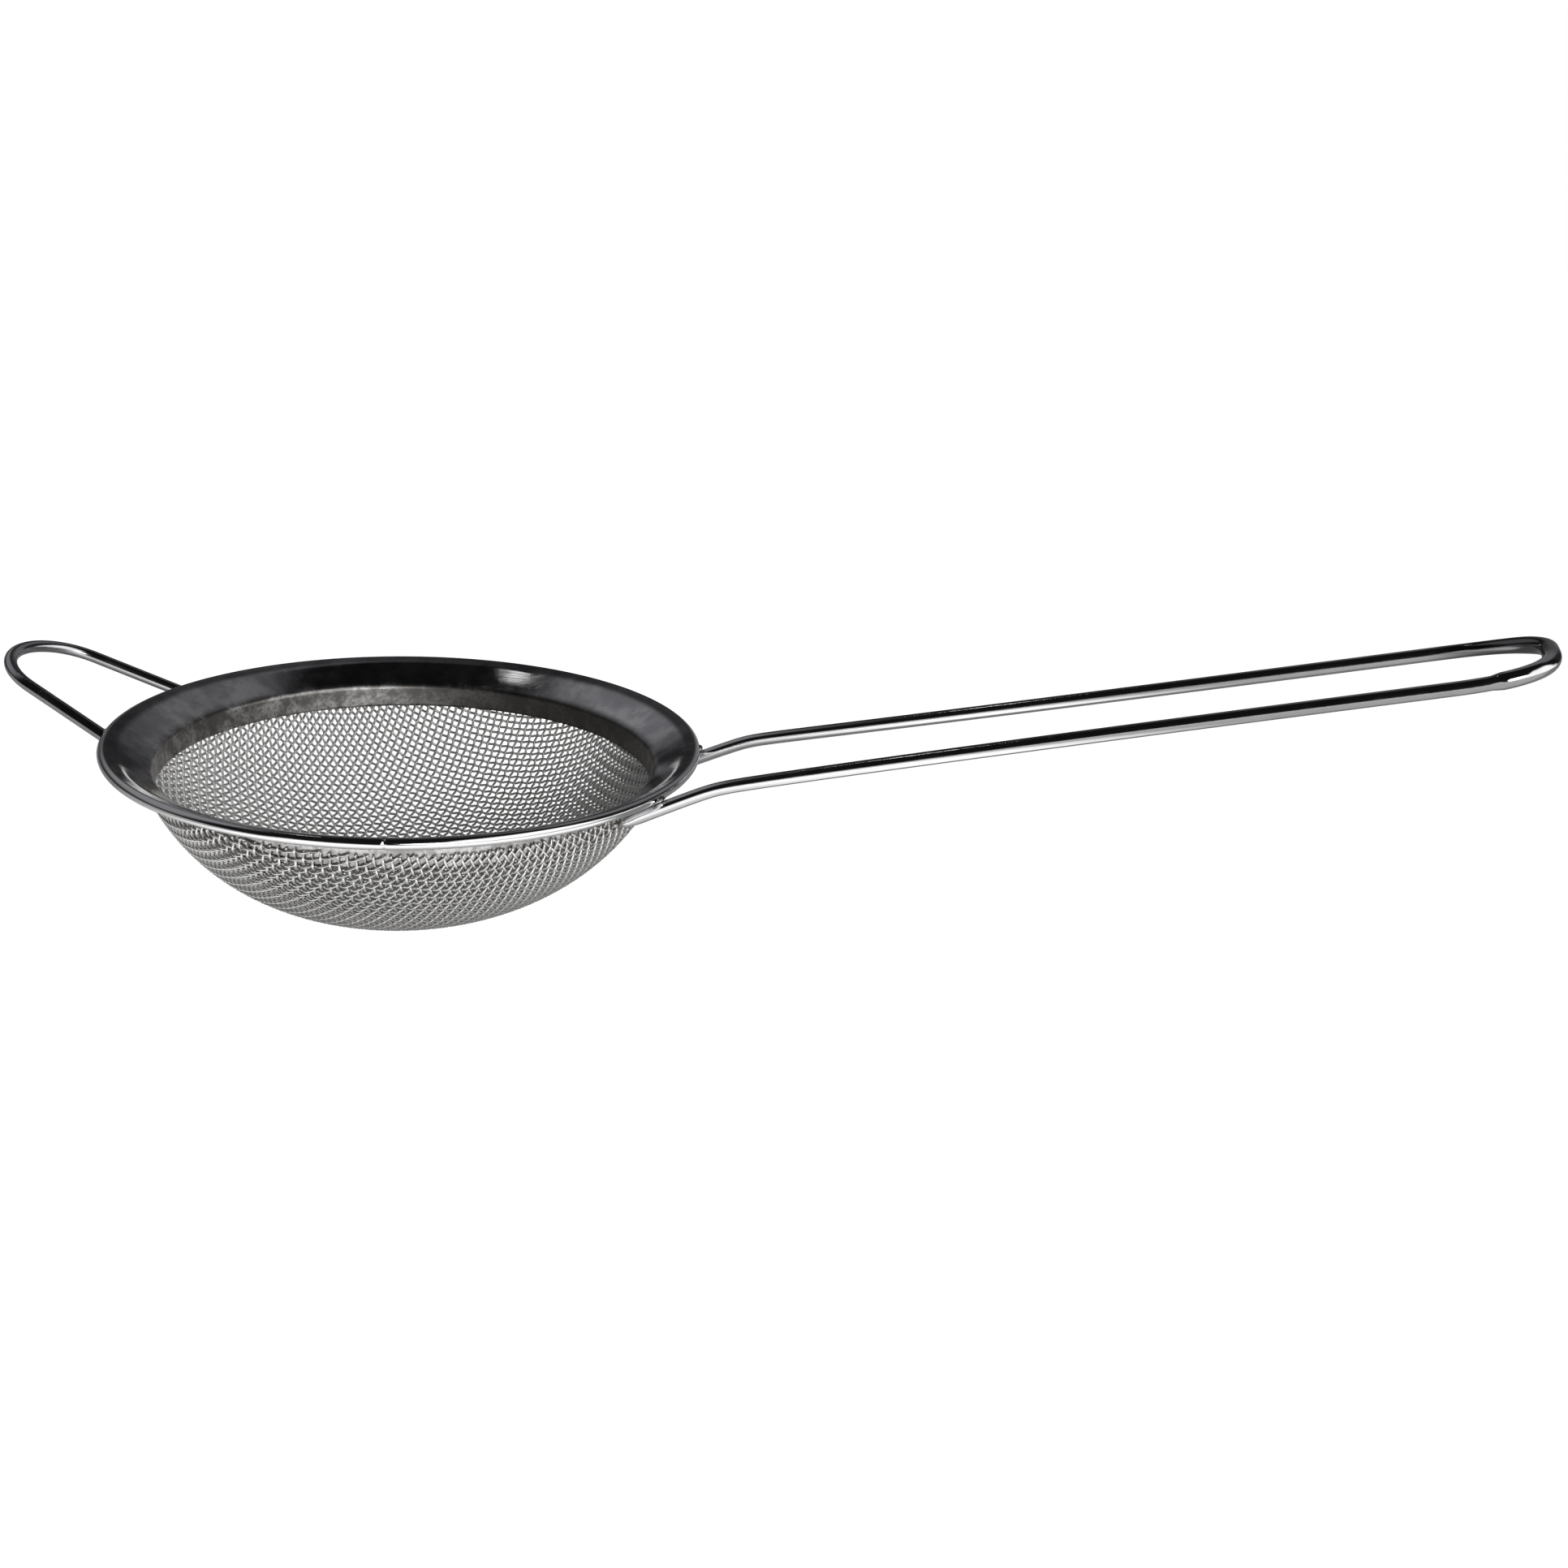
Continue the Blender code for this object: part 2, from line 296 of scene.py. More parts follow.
class Nodes:
    """A short way to write a node tree."""

    def __init__(self, tree):
        self.tree = tree

    def link(self, output, socket):
        self.tree.links.new(output, socket)

    def add(self, kind, settings=None, **inputs):
        """A node with its settings and inputs. An input goes by its name, or by i and its number."""
        node = self.tree.nodes.new(kind)
        for key, value in (settings or {}).items():
            setattr(node, key, value)
        for key, value in inputs.items():
            numbered = key[0] == "i" and key[1:].isdigit()
            socket = node.inputs[int(key[1:])] if numbered else node.inputs[key]
            if isinstance(value, bpy.types.NodeSocket):
                self.link(value, socket)
            else:
                socket.default_value = value
        return node

    def math(self, operation, *values):
        inputs = {f"i{k}": value for k, value in enumerate(values)}
        return self.add("ShaderNodeMath", {"operation": operation}, **inputs).outputs[0]

    def vector(self, operation, *values, output="Vector", **inputs):
        inputs.update({f"i{k}": value for k, value in enumerate(values)})
        return self.add("ShaderNodeVectorMath", {"operation": operation}, **inputs).outputs[output]

    def split(self, vector):
        return self.add("ShaderNodeSeparateXYZ", None, i0=vector).outputs

    def product(self, first, *others):
        for other in others:
            first = self.math("MULTIPLY", first, other)
        return first

    def weighted(self, base, *terms):
        """The base plus each term's value times its weight."""
        for value, weight in terms:
            base = self.math("MULTIPLY_ADD", value, weight, base)
        return base

    def inverse(self, value):
        return self.math("SUBTRACT", 1.0, value)

    def smooth(self, value, low, high):
        """0 at low and 1 at high, with eased ends."""
        settings = {"interpolation_type": "SMOOTHSTEP"}
        inputs = {"Value": value, "From Min": low, "From Max": high}
        return self.add("ShaderNodeMapRange", settings, **inputs).outputs[0]

    def mix(self, factor, first, second):
        settings = {"data_type": "RGBA"}
        return self.add("ShaderNodeMix", settings, i0=factor, i6=first, i7=second).outputs[2]

    def noise(self, vector, scale, detail=3.0, roughness=0.5):
        inputs = {"Vector": vector, "Scale": scale, "Detail": detail, "Roughness": roughness}
        return self.add("ShaderNodeTexNoise", None, **inputs).outputs[0]

    def coordinates(self, kind):
        return self.add("ShaderNodeTexCoord").outputs[kind]

    def seen_by_camera(self):
        return self.add("ShaderNodeLightPath").outputs["Is Camera Ray"]


def grey(level):
    return (level, level, level, 1)


def new_material(name):
    """A metal, with its nodes, its shader and the place of each point of its surface in millimetres."""
    material = bpy.data.materials.new(name)
    material.use_nodes = True
    nodes = Nodes(material.node_tree)
    shader = material.node_tree.nodes["Principled BSDF"]
    shader.inputs["Metallic"].default_value = 1.0
    place = nodes.vector("SCALE", nodes.coordinates("Object"), Scale=1 / MM)
    return material, nodes, shader, place


def finish_steel(nodes, shader, colour, roughness, relief, strength, distance):
    """The look of a metal: its colour, its roughness, and a relief of distance millimetres."""
    nodes.link(colour, shader.inputs["Base Color"])
    nodes.link(roughness, shader.inputs["Roughness"])
    bump = nodes.add("ShaderNodeBump", None, Strength=strength, Distance=distance * MM, Height=relief)
    nodes.link(bump.outputs[0], shader.inputs["Normal"])


def collar_material():
    """Pressed sheet: bright with faint spinning lines and soft stains; the neck rubbed, and darker by
    painted shade.
    """
    material, nodes, shader, place = new_material("collar_steel")
    x, y, z = nodes.split(place)
    radius = nodes.math("SQRT", nodes.math("ADD", nodes.product(x, x), nodes.product(y, y)))
    turn = nodes.math("ARCTAN2", y, x)
    ring = nodes.add("ShaderNodeCombineXYZ", None, i0=nodes.product(turn, 1.2), i1=radius, i2=z).outputs[0]
    lines = nodes.noise(nodes.vector("MULTIPLY", ring, (1.0, 9.0, 9.0)), 1.0, 4.0, 0.6)
    cloud = nodes.noise(place, 0.16, 3.0, 0.55)
    stains = nodes.noise(place, 0.32, 4.0, 0.6)
    spots = nodes.noise(place, 1.6, 2.0, 0.5)

    mottle = nodes.product(nodes.smooth(cloud, 0.30, 0.66), nodes.smooth(stains, 0.25, 0.60))
    bright = nodes.mix(mottle, (0.42, 0.42, 0.43, 1), grey(0.68))
    bright = nodes.mix(nodes.smooth(radius, BEAD_R - 0.6, BEAD_R), bright, grey(0.74))

    patches = nodes.product(nodes.smooth(stains, 0.38, 0.60), nodes.smooth(spots, 0.25, 0.60))
    # The neck's colour: rubbed patches, on a low level that is painted shade
    rubbed_and_shaded = nodes.mix(patches, (0.22, 0.21, 0.20, 1), (0.58, 0.57, 0.56, 1))
    # More painted shade on one side of the neck, darkest at its angle
    painted_shade = nodes.smooth(nodes.math("COSINE", nodes.math("SUBTRACT", turn, PAINTED_SHADE_ANGLE)), 0.50, 0.97)
    rubbed_and_shaded = nodes.mix(nodes.product(painted_shade, 0.85), rubbed_and_shaded, (0.09, 0.085, 0.08, 1))

    neck = nodes.inverse(nodes.smooth(radius, NECK_TOP - 0.1, NECK_TOP + 1.2))
    colour = nodes.mix(neck, bright, rubbed_and_shaded)
    rough = nodes.weighted(0.05, (nodes.smooth(stains, 0.40, 0.75), 0.09), (lines, 0.04), (neck, 0.32))
    relief = nodes.weighted(0.0, (lines, 0.6), (spots, 0.4))
    finish_steel(nodes, shader, colour, rough, relief, strength=0.06, distance=0.2)
    return material


def wire_material(name, dark, light, gloss, end_shade=0.0):
    """Drawn round wire with fine lines along it and dull patches, and painted shade on the grip's bend."""
    material, nodes, shader, place = new_material(name)
    x, y, _ = nodes.split(place)
    drawn = nodes.noise(nodes.vector("MULTIPLY", place, (0.12, 5.0, 5.0)), 1.0, 4.0, 0.6)
    cloud = nodes.noise(place, 0.22, 3.0, 0.6)
    # Painted shade: the grip's bend darkens from its near side round to the far leg
    bend = nodes.product(nodes.smooth(x, *END_SHADE_ALONG), nodes.smooth(y, *END_SHADE_ACROSS))
    colour = nodes.mix(nodes.product(bend, end_shade), nodes.mix(cloud, dark, light), grey(0.10))
    rough = nodes.weighted(gloss, (nodes.smooth(cloud, 0.4, 0.8), 0.10), (drawn, 0.05))
    finish_steel(nodes, shader, colour, rough, drawn, strength=0.04, distance=0.1)
    return material


def cloth_material():
    """Fine wire, bright outside and brushed duller inside, stained where it is welded to the neck."""
    material, nodes, shader, place = new_material("cloth_steel")
    z = nodes.split(place)[2]
    cloud = nodes.noise(place, 0.12, 3.0, 0.6)
    grain = nodes.noise(place, 2.2, 2.0, 0.5)
    inwards = nodes.vector("NORMALIZE", nodes.vector("SUBTRACT", (0, 0, BEAD_Z), place))
    facing = nodes.vector("DOT_PRODUCT", nodes.coordinates("Normal"), inwards, output="Value")
    inner = nodes.smooth(facing, -0.1, 0.4)
    plain = nodes.mix(cloud, (0.61, 0.605, 0.59, 1), (0.77, 0.765, 0.75, 1))
    plain = nodes.mix(inner, plain, (0.80, 0.795, 0.78, 1))
    heat = nodes.product(nodes.smooth(z, *HEAT_HEIGHT), nodes.smooth(grain, 0.42, 0.62), 0.35)
    colour = nodes.mix(heat, plain, (0.30, 0.26, 0.24, 1))
    rough = nodes.weighted(0.06, (grain, 0.12), (inner, 0.38))
    finish_steel(nodes, shader, colour, rough, grain, strength=0.15, distance=0.05)
    return material


def weld_material():
    """Weld metal: lumpy, duller than the wire and browned by heat in patches."""
    material, nodes, shader, place = new_material("weld_steel")
    grain = nodes.noise(place, 3.0, 4.0, 0.6)
    colour = nodes.mix(nodes.smooth(grain, 0.35, 0.65), (0.22, 0.19, 0.17, 1), (0.60, 0.58, 0.56, 1))
    rough = nodes.weighted(0.22, (grain, 0.2))
    finish_steel(nodes, shader, colour, rough, grain, strength=0.35, distance=0.1)
    return material


# ---------------------------------------------------------------- collar


def left_offset(points, distance):
    """The (radius, height) line moved to its left by distance, mitred at each corner."""
    way = unit(np.diff(points, axis=0))
    first = np.vstack([way[:1], way])
    second = np.vstack([way, way[-1:]])
    normal_a = np.stack([-first[:, 1], first[:, 0]], 1)
    normal_b = np.stack([-second[:, 1], second[:, 0]], 1)
    middle = unit(normal_a + normal_b)
    return points + middle * (distance / (middle * normal_a).sum(1))[:, None]


def collar_profile():
    """The middle of the sheet, in (radius, height), from the neck's foot to the hidden end of the curl."""
    half = SHEET / 2
    angles = FLARE_TOP + math.pi / 2 - np.linspace(0, CURL_TURN, 45)
    curl = np.array([BEAD_R, BEAD_Z]) + (BEAD - half) * np.stack([np.cos(angles), np.sin(angles)], 1)
    radius = np.linspace(curl[0, 0], NECK_TOP + half, 60)
    bowed = FLARE_BOW * np.clip((FLARE_BOW_MIDDLE - radius) / FLARE_BOW_REACH, -1, 1)
    slope = FLARE + bowed + (FLARE_TOP - FLARE) * eased(radius, FLARE_EASE_START, FLARE_EASE)
    height = curl[0, 1] + np.concatenate([[0], np.cumsum(np.diff(radius) * np.tan(slope[1:]))])
    corner = np.array([radius[-1], height[-1]])
    foot = np.array([NECK_FOOT + half, NECK_FOOT_Z])
    neck = unit(corner - foot)
    flare = np.array([math.cos(FLARE), math.sin(FLARE)])
    turn = math.acos(float(neck @ flare))
    centre = corner - neck * NECK_BEND * math.tan(turn / 2) + NECK_BEND * np.array([neck[1], -neck[0]])
    sweep = math.atan2(neck[0], -neck[1]) - np.linspace(0, turn, 13)
    bent = centre + NECK_BEND * np.stack([np.cos(sweep), np.sin(sweep)], 1)
    neck_line = foot + (bent[0] - foot) * np.linspace(0, 1, 10)[:-1, None]
    between = (radius > bent[-1, 0] + 0.05) & (radius < curl[0, 0] - 0.01)
    flare_line = np.stack([radius[between], height[between]], 1)[::-1]
    return np.vstack([neck_line, bent, flare_line, curl])


def collar():
    """The pressed rim: the neck, the flare and the curled bead, a little uneven as thin sheet is."""
    middle = collar_profile()
    top = left_offset(middle, SHEET / 2)
    under = left_offset(middle, -SHEET / 2)
    outline = np.vstack([top, under[::-1]])
    seam = SEAM_ANGLE % TAU
    turns = np.linspace(0, TAU, COLLAR_SIDES + 1)[:-1]
    turns = np.sort(np.concatenate([turns, seam + np.linspace(-SEAM_REACH, SEAM_REACH, 13)]))
    angle = turns[:, None]
    radius = np.repeat(outline[None, :, 0], len(turns), 0)
    height = np.repeat(outline[None, :, 1], len(turns), 0)

    on_flare = ramp(radius, NECK_TOP + 0.5, 2.0) * ramp(BEAD_R - 0.8 - radius, 0, 2.0)
    uneven = sum(rise * np.sin(count * angle + start) for rise, count, start in FLARE_WAVES)
    height = height + on_flare * (uneven + RIPPLE_HEIGHT * np.sin(RIPPLES * angle + radius))

    on_neck = ramp(NECK_TOP + 0.5 - radius, 0, 0.4)
    for k in range(WELD_MARKS):
        aside = wrapped(angle - WELD_MARK_START - k * TAU / WELD_MARKS) * NECK_FOOT
        away = aside**2 + (height - NECK_FOOT_Z - WELD_MARK_LIFT) ** 2
        radius = radius + on_neck * WELD_MARK_DEPTH * np.exp(-away / WELD_MARK_AREA)

    on_bead = ramp(radius, BEAD_R - 0.5, 0.3)
    groove = np.exp(-((wrapped(angle - seam) / SEAM_WIDTH) ** 2))
    radius = radius - on_bead * groove * SEAM_DEPTH

    points = np.stack([radius * np.cos(angle), radius * np.sin(angle), height], -1)
    made = mesh_object("collar_sheet", points.reshape(-1, 3), spun_grid(*radius.shape), collar_material())
    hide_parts("rim_collar")
    return made, "collar_steel"


# ---------------------------------------------------------------- cloth


def cloth_profile():
    """Arc length, radius, height and outward normal of the middle of the cloth, from its pole upwards.

    The last value is the arc length at the cloth's edge. The line runs past it, so wires can be cut there.
    """
    mouth = NECK_FOOT + SHEET + BOWL_WALL_AND_GAP
    width = mouth / MOUTH_SHARE
    depth = NECK_FOOT_Z / (1 - (1 - MOUTH_SHARE**BOWL_POWER) ** (1 / BOWL_POWER))
    radius = np.linspace(0, mouth, 500)
    height = depth * (1 - (1 - (radius / width) ** BOWL_POWER) ** (1 / BOWL_POWER))
    slope = unit(np.stack([np.gradient(radius), np.gradient(height)], 1))
    line = np.stack([radius - slope[:, 1] * CLOTH_MID_GAP, height + slope[:, 0] * CLOTH_MID_GAP], 1)
    line[0, 0] = 0
    line = line[line[:, 1] < NECK_FOOT_Z - WALL_EASE]
    wall_foot = np.array([mouth - CLOTH_MID_GAP, NECK_FOOT_Z])
    wall_top = np.array([BOWL_HIGH[0] - CLOTH_MID_GAP, BOWL_HIGH[2] - CLOTH_EDGE_DROP])
    beyond = wall_top + unit(wall_top - wall_foot) * 6
    line = np.vstack([line, [wall_foot], [wall_top], [beyond]])
    arc = lengths_along(line)

    fine = np.linspace(0, arc[-1], 900)
    sharp = np.stack([np.interp(fine, arc, line[:, 0]), np.interp(fine, arc, line[:, 1])], 1)
    reach = 7
    before = sharp[reach:0:-1] * [-1, 1]
    after = sharp[-1:] + (sharp[-1] - sharp[-2]) * np.arange(1, reach + 1)[:, None]
    padded = np.vstack([before, sharp, after])
    kernel = np.ones(2 * reach + 1) / (2 * reach + 1)
    soft = np.stack([np.convolve(padded[:, k], kernel, "valid") for k in (0, 1)], 1)
    way = unit(np.gradient(soft, axis=0))
    return fine, soft[:, 0], soft[:, 1], way[:, 1], -way[:, 0], arc[-2]


ARC, ARC_R, ARC_Z, ARC_NR, ARC_NZ, ARC_EDGE = cloth_profile()


def on_cloth(flat):
    """The point of the cloth's middle, and its outward normal, for arc-length polar coordinates."""
    rho = np.hypot(flat[..., 0], flat[..., 1])
    turn = np.arctan2(flat[..., 1], flat[..., 0])
    c, s = np.cos(turn), np.sin(turn)
    r, z = np.interp(rho, ARC, ARC_R), np.interp(rho, ARC, ARC_Z)
    nr, nz = np.interp(rho, ARC, ARC_NR), np.interp(rho, ARC, ARC_NZ)
    return np.stack([r * c, r * s, z], -1), np.stack([nr * c, nr * s, nz], -1)


def next_crossing(along, aside, corner):
    """The crossing one warp pitch from along and one weft pitch from aside, found by Newton's method."""
    target_a, target_b = on_cloth(along)[0], on_cloth(aside)[0]
    guess = along + aside - corner
    nudge = 1e-4
    for _ in range(8):
        tests = np.stack([guess, guess + [nudge, 0], guess + [0, nudge]])
        spots = on_cloth(tests)[0]
        miss_a = np.linalg.norm(spots - target_a, axis=1) - WARP_PITCH
        miss_b = np.linalg.norm(spots - target_b, axis=1) - WEFT_PITCH
        misses = np.stack([miss_a, miss_b])
        step = np.linalg.solve((misses[:, 1:] - misses[:, :1]) / nudge, misses[:, 0])
        guess = guess - np.clip(step, -0.5, 0.5)
    return guess


def draped_net():
    """Crossings of the two sets of wires, in one quarter of the bowl: each cell keeps its two pitches."""
    warps = int(ARC_EDGE / WARP_PITCH) + 4
    wefts = int(ARC_EDGE / WEFT_PITCH) + 4
    net = np.full((warps, wefts, 2), np.nan)
    net[:, 0] = np.stack([np.arange(warps) * WARP_PITCH, np.zeros(warps)], 1)
    net[0, :] = np.stack([np.zeros(wefts), np.arange(wefts) * WEFT_PITCH], 1)
    for i in range(1, warps):
        for j in range(1, wefts):
            along, aside = net[i - 1, j], net[i, j - 1]
            if np.isnan(along[0]) or np.isnan(aside[0]):
                continue
            if min(np.hypot(*along), np.hypot(*aside)) > ARC_EDGE + NET_MARGIN:
                continue
            net[i, j] = next_crossing(along, aside, net[i - 1, j - 1])
    return net


def whole_net(quarter):
    """The quarter mirrored to all four, with crossing (0, 0) in the middle."""
    warps, wefts = quarter.shape[:2]
    net = np.full((2 * warps - 1, 2 * wefts - 1, 2), np.nan)
    i, j = np.meshgrid(np.arange(warps), np.arange(wefts), indexing="ij")
    for sx in (1, -1):
        for sy in (1, -1):
            net[warps - 1 + sx * i, wefts - 1 + sy * j] = quarter * [sx, sy]
    return net


def cloth_wire(knots, first_sign):
    """One wire of the cloth, over and under the crossings at its knots and cut at the cloth's edge."""
    count = len(knots)
    t = np.arange((count - 1) * CLOTH_CUTS + 1) / CLOTH_CUTS
    k = np.clip(t.astype(int), 0, count - 2)
    f = (t - k)[:, None]
    a, b = knots[np.maximum(k - 1, 0)], knots[k]
    c, d = knots[k + 1], knots[np.minimum(k + 2, count - 1)]
    flat = 0.5 * (2 * b + (c - a) * f + (2 * a - 5 * b + 4 * c - d) * f**2 + (3 * b - a - 3 * c + d) * f**3)
    inside = np.nonzero(np.hypot(flat[:, 0], flat[:, 1]) <= ARC_EDGE)[0]
    if len(inside) < CLOTH_CUTS:  # Too short to reach its next crossing
        return None
    kept = slice(inside[0], inside[-1] + 1)
    wave = first_sign * np.cos(math.pi * t[kept])
    cos_turn, sin_turn = math.cos(CLOTH_TURN), math.sin(CLOTH_TURN)
    point, normal = on_cloth(flat[kept] @ np.array([[cos_turn, sin_turn], [-sin_turn, cos_turn]]))
    neck_foot = [NECK_FOOT_Z - CLOTH_PRESS_REACH, NECK_FOOT_Z + CLOTH_PRESS_REACH]
    pressed = np.interp(point[:, 2], neck_foot, [1.0, CLOTH_PRESSED])
    centres = point + normal * (wave * CLOTH_WIRE * pressed)[:, None]
    centres[:, 0] -= BOWL_LEAN * np.clip(1 - centres[:, 2] / NECK_FOOT_Z, 0, 1)
    across, up = framed(centres, normal)
    radius = np.full(len(centres), CLOTH_WIRE)
    return centres, across, up, radius, radius


def wires_along(rows, first_sign):
    """A wire along each row of crossings, in two halves: those before the middle row, and the rest."""
    halves = [], []
    for i, row in enumerate(rows):
        good = np.nonzero(~np.isnan(row[:, 0]))[0]
        wire = cloth_wire(row[good[0] : good[-1] + 1], first_sign * (-1) ** (i + good[0]))
        if wire:
            halves[i >= len(rows) // 2].append(wire)
    return halves


def cloth():
    """The woven bowl, in four pieces: each set of wires in two halves."""
    net = whole_net(draped_net())
    warp = dict(zip(("cloth_warp_loop_side", "cloth_warp_handle_side"), wires_along(net, 1)))
    weft = dict(zip(("cloth_weft_near", "cloth_weft_far"), wires_along(net.transpose(1, 0, 2), -1)))
    material = cloth_material()
    made = []
    for name, wires in (warp | weft).items():
        piece = mesh_object(name, *tube_mesh(wires, CLOTH_SIDES), material)
        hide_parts("mesh_bowl")
        made.append((piece, "mesh_steel"))
    return made


# ---------------------------------------------------------------- wires


def rim_crossing(spread):
    """How far out a leg passes under the bead's middle, spread to the side of the middle plane."""
    return math.sqrt(BEAD_R**2 - spread**2)


def below_bead(radius, climb):
    """How far a climbing wire's middle passes below the bead's middle."""
    return (radius + BEAD + WIRE_GAP) / math.cos(math.atan(climb / CROSSING_COSINE))


def handle_height(x):
    crossing = rim_crossing(HANDLE_SPREAD)
    under = below_bead(HANDLE_R, HANDLE_CLIMB)
    climb = -under + HANDLE_CLIMB * (x - crossing)
    knee = -under + HANDLE_CLIMB * (HANDLE_KNEE - crossing)
    level = knee + HANDLE_RISE * (x - HANDLE_KNEE)
    lift = END_LIFT * ramp(x, END_START, END_LIFT_LENGTH) ** 2
    return BEAD_Z + (climb + level) / 2 - np.hypot((climb - level) / 2, HANDLE_ROUNDING) + lift


def handle_spread(x):
    drawn_in = HANDLE_SPREAD - HANDLE_END_SPREAD
    return HANDLE_END_SPREAD + drawn_in * np.exp(-(x - HANDLE_TIP) / HANDLE_TAPER)


def handle_end():
    """The bend at the grip's end, fuller on its near side, from the near leg round to the far one."""
    turn = (np.arange(1, 64) / 64 - 0.5) * math.pi
    power = 2 / np.where(turn > 0, END_POWER_FAR, END_POWER_NEAR)
    reach = np.cos(turn) ** power
    side = np.sign(turn) * np.abs(np.sin(turn)) ** power
    out = END_START + (END_LENGTH + END_SKEW * side) * reach
    return np.stack([out, handle_spread(END_START) * side], 1)


def handle_swell(line):
    """How much thicker the wire is where its end was pressed to shape.

    The swelling starts sharply on the near leg, goes all round the bend and fades out at the far leg.
    """
    start = eased(line[:, 0], SWELL_START, SWELL_RAMP)
    stop = eased(line[:, 1], SWELL_FADE_START, SWELL_FADE)
    return 1 + END_SWELL * start * (1 - stop)


def handle_line():
    """The middle of the handle's wire, from the near tip out along its leg, round the end and back."""
    root_end = 56
    root = np.linspace(HANDLE_TIP, root_end, 60)[:-1]
    stations = np.concatenate([root, np.linspace(root_end, END_START, 90)])
    leg = np.stack([stations, handle_spread(stations)], 1)
    flat = np.vstack([leg * [1, -1], handle_end(), leg[::-1]])
    way = lengths_along(flat)
    even = np.linspace(0, way[-1], 420)
    flat = np.stack([np.interp(even, way, flat[:, 0]), np.interp(even, way, flat[:, 1])], 1)
    return np.column_stack([flat, handle_height(flat[:, 0])])


def loop_line():
    """The middle of the rest loop's wire, from the near tip out along its leg, round the end and back."""
    crossing = rim_crossing(LOOP_SPREAD)
    lean = math.atan(LOOP_TAPER)
    radius = (LOOP_SPREAD - LOOP_TAPER * (LOOP_ARC - crossing)) * math.cos(lean)
    stations = np.linspace(LOOP_TIP, LOOP_ARC + radius * math.sin(lean), 46)[:-1]
    leg = np.stack([stations, LOOP_SPREAD - LOOP_TAPER * (stations - crossing)], 1)
    angles = (math.pi / 2 - lean) * (1 - np.arange(49) / 24)
    end = np.stack([LOOP_ARC + radius * np.cos(angles), radius * np.sin(angles)], 1)
    flat = np.vstack([leg * [1, -1], end[::-1], leg[::-1]])
    height = BEAD_Z - below_bead(LOOP_R, LOOP_RISE) + LOOP_RISE * (flat[:, 0] - crossing)
    return np.stack([-flat[:, 0], flat[:, 1], height], 1)


def bent_wire(name, line, radius, pressed_length, material, node):
    """A round wire with its two tips pressed flat at the neck. Its radius may change along the line."""
    across, up = framed(line, np.array([0.0, 0.0, 1.0]))
    along = lengths_along(line)
    from_tip = np.minimum(along, along[-1] - along)
    pressed = 1 - eased(from_tip, 0, pressed_length)
    end = ramp(from_tip, 0, TIP_ROUNDING)
    rounded = TIP_BLUNT + (1 - TIP_BLUNT) * np.sqrt(np.clip(1 - (1 - end) ** 2, 0, 1))
    wide = radius * (1 + TIP_WIDENED * pressed) * rounded
    high = radius * (1 - TIP_FLATTENED * pressed) * rounded
    points, faces = tube_mesh([(line, across, up, wide, high)], WIRE_SIDES)
    made = mesh_object(name, points, faces, material)
    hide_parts(node)
    return made, "wire_steel"


# ---------------------------------------------------------------- welds


def weld(node, size, sunk, seed, material):
    """A lump of weld metal at its CAD node, uneven, drawn out along the rim and sunk inwards and down."""
    low, high = millimetres(node)
    centre = (low + high) / 2
    turn = math.atan2(centre[1], centre[0])
    c, s = math.cos(turn), math.sin(turn)
    centre = centre - [sunk[0] * c, sunk[0] * s, sunk[1]]
    shape = bmesh.new()
    bmesh.ops.create_icosphere(shape, subdivisions=4, radius=1.0)
    points = np.array([v.co for v in shape.verts])
    faces = [[v.index for v in f.verts] for f in shape.faces]
    shape.free()
    x, y, z = points.T
    lumps = 1 + 0.07 * np.sin(3.1 * x + seed) * np.cos(2.7 * y - seed) + 0.05 * np.sin(5 * z + 2 * seed)
    points = points * lumps[:, None] * np.array(size)
    points = points @ np.array([[c, s, 0], [-s, c, 0], [0, 0, 1]])
    made = mesh_object(node + "_lump", points + centre, faces, material)
    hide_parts(node)
    return made, "weld_steel"


# ---------------------------------------------------------------- stage


def stage_floor():
    """A plain white floor, whose glow lights the object from the front.

    The glow fades to the left and to the right and goes out behind the object. Under the object it is
    darkened by a painted shadow. Distances here are metres on the floor.
    """
    bpy.ops.mesh.primitive_grid_add(x_subdivisions=2, y_subdivisions=2, size=16.0, location=(0, 0, 0))
    floor = bpy.context.object
    floor.name = "floor"
    floor.location = (0, 0, cad_bounds[0][2] - 0.0001)
    material = bpy.data.materials.new("floor_white")
    material.use_nodes = True
    nodes = Nodes(material.node_tree)
    shader = material.node_tree.nodes["Principled BSDF"]
    shader.inputs["Base Color"].default_value = (0.85, 0.85, 0.85, 1)
    shader.inputs["Roughness"].default_value = 0.9
    place = nodes.coordinates("Object")
    x, y, _ = nodes.split(place)
    leftwards = nodes.vector("DOT_PRODUCT", place, (-0.90, 0.20, 0.0), output="Value")
    left = nodes.weighted(1.0, (nodes.smooth(leftwards, 0.010, 0.070), -0.88))
    right = nodes.weighted(1.0, (nodes.smooth(nodes.weighted(x, (y, -0.22)), 0.105, 0.150), -0.80))
    back = nodes.inverse(nodes.smooth(y, -0.017, -0.001))
    # Painted shadow of the object, darkening the glow under it
    painted_shadow = nodes.smooth(nodes.vector("LENGTH", place, output="Value"), 0.026, 0.090)
    glow = nodes.mix(nodes.product(left, right, back, painted_shadow), grey(0.05), grey(1.35))
    nodes.link(nodes.mix(nodes.seen_by_camera(), glow, grey(0.90)), shader.inputs["Emission Color"])
    shader.inputs["Emission Strength"].default_value = 1.0
    floor.data.materials.append(material)


